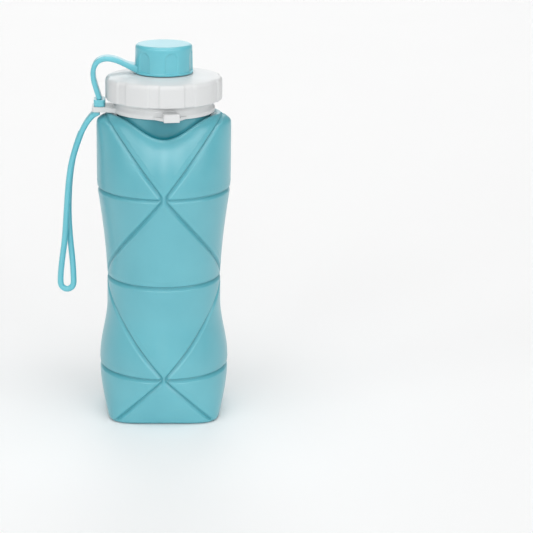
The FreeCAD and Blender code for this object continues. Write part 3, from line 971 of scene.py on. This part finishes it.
def ear_plates(name, degrees):
    """Slotted ear: two side arms, an outer bar and a flared root."""
    centre_y = EAR_HALF_WIDTH + EAR_FLARE
    centre_x = sqrt((COLLAR_OUTER + EAR_FLARE) ** 2 - centre_y ** 2)
    first = np.degrees(atan2(centre_y, -centre_x))
    flare = []
    for turn in np.radians(np.linspace(first, 90, 9)):
        flare.append((centre_x + EAR_FLARE * cos(turn), -centre_y + EAR_FLARE * sin(turn)))
    flare.insert(0, (COLLAR_BORE - 1.0, flare[0][1] + 1.0))
    end_x = EAR_REACH - EAR_CORNER
    end_y = EAR_HALF_WIDTH - EAR_CORNER
    outline = flare + corner_arcs(((-90, end_x, -end_y), (0, end_x, end_y)), EAR_CORNER, 6)
    outline += [(x, -y) for x, y in reversed(flare)]
    low = COLLAR_LOW[2]
    body = plate(name, turned_outline(outline, degrees), low, low + EAR_THICKNESS)
    slot = rounded_rectangle(SLOT_NEAR, SLOT_FAR, SLOT_HALF_LENGTH, 1.2)
    tool = plate(name + "_slot", turned_outline(slot, degrees), low - 3, low + EAR_THICKNESS + 3)
    cut_away(body, tool)
    return body


def rounded_rectangle(near, far, half, radius):
    """Closed plan outline of a slot."""
    far_x = far - radius
    near_x = near + radius
    y = half - radius
    return corner_arcs(((-90, far_x, -y), (0, far_x, y), (90, near_x, y), (180, near_x, -y)), radius, 4)


def collar_hook():
    """Front lug with a lip that hangs down, and the small webs beside it."""
    low = COLLAR_LOW[2]
    half = HOOK_HALF_WIDTH
    root = -COLLAR_OUTER + 0.5
    lug = brick("hook", (-half, -HOOK_REACH, low), (half, -COLLAR_BORE - 0.6, low + HOOK_HEIGHT))
    notch_low = (-half - 1, -HOOK_REACH + HOOK_LIP, low - 1)
    notch_high = (half + 1, -COLLAR_LIP - 0.8, low + HOOK_UNDERCUT)
    cut_away(lug, brick("hook_notch", notch_low, notch_high))
    parts = [lug]
    web = [(half - 0.8, root), (half + 5.0, root), (half - 0.5, -HOOK_REACH + 2.2)]
    parts.append(plate("web_right", web, low + 0.2, low + 1.9))
    mirrored = [(-x, y) for x, y in reversed(web)]
    parts.append(plate("web_left", mirrored, low + 0.2, low + 1.9))
    turn = radians(HOOK_TURN_DEG)
    for part in parts:
        for vertex in part.data.vertices:
            x, y, z = vertex.co
            vertex.co = (x * cos(turn) - y * sin(turn), x * sin(turn) + y * cos(turn), z)
    return parts


def strap_collar():
    """Ring with two ears and the front hook, fused into one moulding."""
    low = COLLAR_LOW[2]
    high = COLLAR_HIGH[2]
    corners = [(COLLAR_BORE, low), (COLLAR_LIP, low), (COLLAR_LIP, low + 2.3),
               (COLLAR_TOP_RADIUS, low + 4.2), (COLLAR_TOP_RADIUS, high), (COLLAR_BORE, high)]
    outline = refined(rounded(corners, [0.3, 0.6, 0.5, 0.9, 0.3, 0.3], 4), 1.0)
    parts = [lathe("collar_ring", outline, 240, PLASTIC)]
    parts += [ear_plates("ear_left", 180), ear_plates("ear_back", 90)] + collar_hook()
    collar = fused("strap_collar_moulded", parts, 0.24, 4, PLASTIC)
    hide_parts("strap_collar")
    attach(collar, "neck")


# ---- tether and lanyard


TETHER_WIDTH = 9.0
TETHER_THICKNESS = 2.8
TETHER_ROUTE = [(-12.6, 0, 201.9), (-19.8, 0, 204.0), (-26.1, 0, 207.3), (-32.4, 0, 208.6), (-37.5, 0, 206.9),
                (-39.9, 0, 202.4), (-39.9, 0, 196.8), (-38.3, 0, 191.2), (-36.4, 0, 185.3)]
TETHER_TOP_X = -33.0
FLANGE_Z = (181.45, 185.2)
LANYARD_DIAMETER = 3.5
LANYARD_ROUTE = [(-47.3, -2.6, 165.2), (-50.3, -2.7, 157.3), (-53.2, -2.6, 146.9), (-55.0, -2.4, 133.4),
                 (-56.2, -2.0, 117.2), (-57.4, -1.2, 102.1), (-59.3, -0.3, 89.4), (-60.3, 0.0, 80.1),
                 (-60.3, 0.0, 73.9), (-56.5, 0.1, 71.6), (-52.7, 0.2, 73.9), (-52.7, 0.4, 80.1),
                 (-53.1, 0.9, 89.4), (-54.4, 1.7, 102.1), (-55.2, 2.2, 117.2), (-54.6, 2.5, 133.4),
                 (-53.0, 2.6, 146.9), (-50.3, 2.7, 157.3), (-47.3, 2.6, 165.2)]


def tether_piece(name, path):
    """Part of the tether, wider and thicker where it grows out of the cap."""
    sections = []
    for place in path:
        flare = smoothstep(-22.0, -15.0, place[0])
        width = TETHER_WIDTH + 4.5 * flare
        thickness = TETHER_THICKNESS + 0.9 * flare
        sections.append(rounded_section(width, thickness, 0.9))
    strap = sweep(name, path, (0, 1, 0), sections, SILICONE_SOFT)
    return strap


def cap_tether():
    """Tether in two lengths: cap to the crown of its arch, and on down to the ear."""
    path = spline(TETHER_ROUTE, 130)
    split = int(np.argmax(path[:, 0] < TETHER_TOP_X))
    upper = tether_piece("cap_tether_upper", path[:split + 1])
    lower = tether_piece("cap_tether_lower", path[split:])
    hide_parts("cap_tether")
    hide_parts("cap_tether")
    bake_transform(upper)
    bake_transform(lower)


def tether_stopper():
    """Rounded flange on the ear, with the stub through the slot."""
    low, high = cad_box("tether_stopper")
    flange = rounded_rectangle(low[0], high[0], high[1], 1.7)
    parts = [plate("flange", flange, FLANGE_Z[0], FLANGE_Z[1])]
    middle = (low[0] + high[0]) / 2
    stub_low = (middle - 1.35, -4.5, low[2] - 0.4)
    stub_high = (middle + 1.35, 4.5, FLANGE_Z[0] + 1)
    parts.append(brick("stub", stub_low, stub_high))
    stopper = fused("tether_stopper_moulded", parts, 0.22, 5, SILICONE_SOFT)
    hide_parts("tether_stopper")
    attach(stopper, "neck")


def lanyard_tongue():
    """Flat tongue that starts at the slot and parts into the loop's two strands."""
    route = [(-36.9, 0, 177.9), (-38.4, 0, 177.2), (-40.6, 0, 175.6), (-43.2, 0, 172.6), (-45.6, 0, 168.6),
             (-47.6, 0, 164.4), (-49.2, 0, 160.4)]
    path = spline(route, 60)
    sections = []
    for index in range(60):
        share = index / 59
        root = 1 - smoothstep(0.0, 0.25, share)
        width = TETHER_WIDTH + 0.6 * root - 0.4 * smoothstep(0.5, 1.0, share)
        thickness = 3.1 + 0.3 * root
        sections.append(rounded_section(width, thickness, 1.3))
    flat = sweep("tongue", path, (0, 1, 0), sections, SILICONE_SOFT)
    head = brick("head", (-40.4, -4.6, 176.3), (-36.3, 4.6, 178.3))
    parts = [flat, head]
    wedge = [(-46.6, 0.0), (-52.5, 1.35), (-52.5, -1.35)]
    tool = plate("split", wedge, 150, 172, SILICONE_SOFT)
    tidy_mesh(tool)
    tongue = fused("lanyard_tongue_moulded", parts, 0.22, 4, SILICONE_SOFT)
    cut_away(tongue, tool)
    shade_smooth(tongue.data)
    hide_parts("lanyard_tongue")
    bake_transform(tongue)


def free_curve(name, points, diameter, material):
    """Round cord as a smooth NURBS curve."""
    data = bpy.data.curves.new(name, "CURVE")
    data.dimensions = "3D"
    line = data.splines.new("NURBS")
    line.points.add(len(points) - 1)
    for control, place in zip(line.points, points):
        control.co = (*(np.array(place) * MM), 1)
    line.order_u = 3
    line.use_endpoint_u = True
    line.resolution_u = 12
    data.bevel_depth = diameter / 2 * MM
    data.bevel_resolution = 7
    data.use_fill_caps = True
    data.materials.append(material)
    return add_object(name, data)


def lanyard_loop():
    """Two strands of the carrying loop, one soft cord that turns back at the bottom."""
    loop = free_curve("lanyard_loop_soft", LANYARD_ROUTE, LANYARD_DIAMETER, SILICONE_SOFT)
    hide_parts("lanyard_loop")
    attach(loop, "lanyard")


# ---- storage strap


STRAP_WIDTH = 8.5
STRAP_THICKNESS = 1.2
STRAP_Y = 40.8
BAR = (39.25, 179.85)
WEBBING_ROUTE = [(0.0, 40.8, 158.0), (0.0, 41.4, 147.0), (0.0, 42.6, 127.5), (0.0, 41.8, 107.5),
                 (0.0, 40.8, 92.0)]
RIB_PITCH = 1.1
RIB_DEPTH = 0.09


def webbing(name, path):
    """Ribbed elastic ribbon along a path in the YZ plane."""
    path = np.array(path, float)
    step = np.linalg.norm(np.diff(path, axis=0), axis=1)
    length = np.concatenate([[0], np.cumsum(step)])
    count = max(12, int(length[-1] / 0.22))
    at = np.linspace(0, length[-1], count)
    path = np.stack([np.interp(at, length, path[:, axis]) for axis in range(3)], axis=-1)
    loop = refined(rounded_section(STRAP_WIDTH, STRAP_THICKNESS, 0.5, 3), 0.35)
    sections = []
    ribs = []
    for distance in at:
        bump = 0.5 + 0.5 * cos(2 * pi * distance / RIB_PITCH)
        section = []
        for u, v in loop:
            cord = 0.5 + 0.5 * cos(2 * pi * u / 0.85)
            grow = 1 + (RIB_DEPTH * bump + 0.05 * cord) / (STRAP_THICKNESS / 2)
            section.append((u, v * grow))
            # rib height, which the webbing material turns into painted shade between the ribs
            ribs.append(0.65 * bump + 0.35 * cord)
        sections.append(section)
    points = swept_points(path, (1, 0, 0), sections)
    ribbon = make_object(name, points, grid_faces(count, len(loop)), WEBBING)
    set_attribute(ribbon, "rib", ribs)
    tidy_mesh(ribbon, 0)
    return ribbon


def arc(centre, radius, first, last, steps):
    """Points of an arc in the YZ plane, degrees from +Y towards +Z."""
    angles = np.radians(np.linspace(first, last, steps))
    return [(0.0, centre[0] + radius * cos(a), centre[1] + radius * sin(a)) for a in angles]


def anchor_loop():
    """Webbing folded round the back ear's bar, its end sewn to the hanging strap."""
    outer = STRAP_Y
    inner = STRAP_Y - STRAP_THICKNESS
    path = [(0, outer, 158.0), (0, outer, 165.0), (0, outer + 0.1, 172.0), (0, outer + 1.1, 176.0)]
    path += arc(BAR, 3.05, -12, 192, 24)
    path += [(0, inner - 1.2, 176.0), (0, inner + 0.05, 172.4), (0, inner, 169.0), (0, inner, 158.8)]
    smooth = spline(path, 160)
    loop = webbing("strap_anchor_loop_woven", smooth)
    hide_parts("strap_anchor_loop")
    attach(loop, "storage_strap")


def end_loop():
    """Folded end of the strap, open below its seam."""
    outer = STRAP_Y
    inner = STRAP_Y - STRAP_THICKNESS
    middle = (outer + inner) / 2
    path = [(0, outer, 92.0), (0, outer, 88.0), (0, outer, 85.0), (0, outer + 0.5, 82.4)]
    path += arc((middle, 79.0), 1.35, 0, -180, 13)
    path += [(0, inner - 0.5, 82.4), (0, inner, 85.0), (0, inner, 88.0), (0, inner, 91.4)]
    loop = webbing("strap_end_loop_woven", spline(path, 90))
    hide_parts("strap_end_loop")
    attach(loop, "storage_strap")
    return loop


def hanging_webbing(loop):
    """Plain length of the storage strap, a flat cord."""
    guide = free_curve("webbing_guide", WEBBING_ROUTE, 0.0, WEBBING)
    mesh = bpy.data.meshes.new_from_object(guide)
    path = [tuple(vertex.co) for vertex in mesh.vertices]
    bpy.data.objects.remove(guide)
    strap = webbing("strap_webbing_woven", np.array(path) / MM)
    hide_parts("strap_webbing")
    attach(strap, "storage_strap")


def stitch_rows():
    """Bar tacks and side rows that sew the strap's folds, as short thread loops."""
    points = []
    faces = []
    face_y = STRAP_Y + STRAP_THICKNESS / 2 + 0.06

    def stitch(x0, z0, x1, z1):
        start = np.array([x0, face_y, z0])
        end = np.array([x1, face_y, z1])
        ahead = (end - start) / np.linalg.norm(end - start)
        side = np.cross(ahead, (0, 1, 0))
        rings = 9
        first = len(points)
        for ring in range(rings):
            t = ring / (rings - 1)
            swell = sin(pi * (0.06 + 0.88 * t))
            place = start + (end - start) * t + np.array([0, 0.14 * swell - 0.08, 0])
            for corner in range(8):
                angle = pi * corner / 4
                around = side * cos(angle) + np.array([0, 1, 0]) * sin(angle)
                points.append(place + around * 0.17 * swell ** 0.4)
        faces.extend(grid_faces(rings, 8, first))

    for low_z, high_z in ((159.4, 170.6), (85.6, 90.8)):
        rows = 7
        for level in (low_z, high_z):
            for index in range(rows):
                x = -3.3 + 6.6 * index / (rows - 1)
                stitch(x - 0.42, level, x + 0.42, level)
        count = round((high_z - low_z) / 1.5)
        for index in range(count):
            z = low_z + (high_z - low_z) * (index + 0.5) / count
            for x in (-3.3, 3.3):
                stitch(x, z - 0.45, x, z + 0.45)
    stitches = make_object("strap_stitches", points, faces, THREAD)
    tidy_mesh(stitches, 0.000001)
    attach(stitches, "storage_strap")


# ---- carried-over CAD nodes


def paint_cad_nodes():
    """Materials of the hidden parts whose CAD shape is right."""
    for node, material in (("neck_insert", PLASTIC), ("lid_gasket", GASKET)):
        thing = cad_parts[node]
        thing.data.materials.clear()
        thing.data.materials.append(material)
        shade_smooth(thing.data)
        thing.data.set_sharp_from_angle(angle=radians(35))


# ---- stage


CAMERA_HEIGHT = 0.3769
CAMERA_DISTANCE = 0.9828
CAMERA_PITCH = 16.5
LENS = 118.8
SHIFT = 0.1926
FLOOR_HALF = 6000.0
STRIP_ELEVATION = 22.0
FRONT_STRIP = (("far_left", -60, 0.26), ("near_left", -30, 0.42), ("middle", 0, 0.56),
               ("near_right", 30, 0.44), ("far_right", 60, 0.35))


def soft_sun(name, toward, spread, strength):
    """Even light from a wide patch of the ceiling, centred on a direction."""
    data = bpy.data.lights.new(name, "SUN")
    data.angle = radians(spread)
    data.energy = strength
    add_object(name, data).rotation_euler = Vector(toward).to_track_quat("Z", "Y").to_euler()


def stage():
    """Pale floor, soft light and the camera."""
    corners = [(x * FLOOR_HALF, y * FLOOR_HALF, 0) for x, y in ((-1, -1), (1, -1), (1, 1), (-1, 1))]
    floor = make_object("floor", corners, [(0, 1, 2, 3)], floor_material())
    world = bpy.data.worlds.new("studio")
    world.use_nodes = True
    finish_with(world.node_tree.nodes["Background"], Color=(1, 1, 1, 1), Strength=0.16)
    bpy.context.scene.world = world
    soft_sun("top", (0.0, -0.10, 0.995), 60, 1.62)
    rise = tan(radians(STRIP_ELEVATION))
    for name, turn, strength in FRONT_STRIP:
        around = radians(turn)
        soft_sun(name, (sin(around), -cos(around), rise), 26, strength)
    soft_sun("back", (0.0, 1.0, 0.33), 40, 0.55)
    data = bpy.data.cameras.new("camera")
    data.lens = LENS
    data.shift_x = SHIFT
    camera = add_object("camera", data)
    camera.location = (0, -CAMERA_DISTANCE, CAMERA_HEIGHT)
    camera.rotation_euler = (radians(90 - CAMERA_PITCH), 0, 0)
    bpy.context.scene.camera = camera
    bpy.context.scene.view_settings.view_transform = "Standard"


silicone_body()
silicone_neck()
screw_lid()
spout_cap()
strap_collar()
cap_tether()
tether_stopper()
lanyard_tongue()
lanyard_loop()
anchor_loop()
hanging_webbing(end_loop())
stitch_rows()
paint_cad_nodes()
stage()
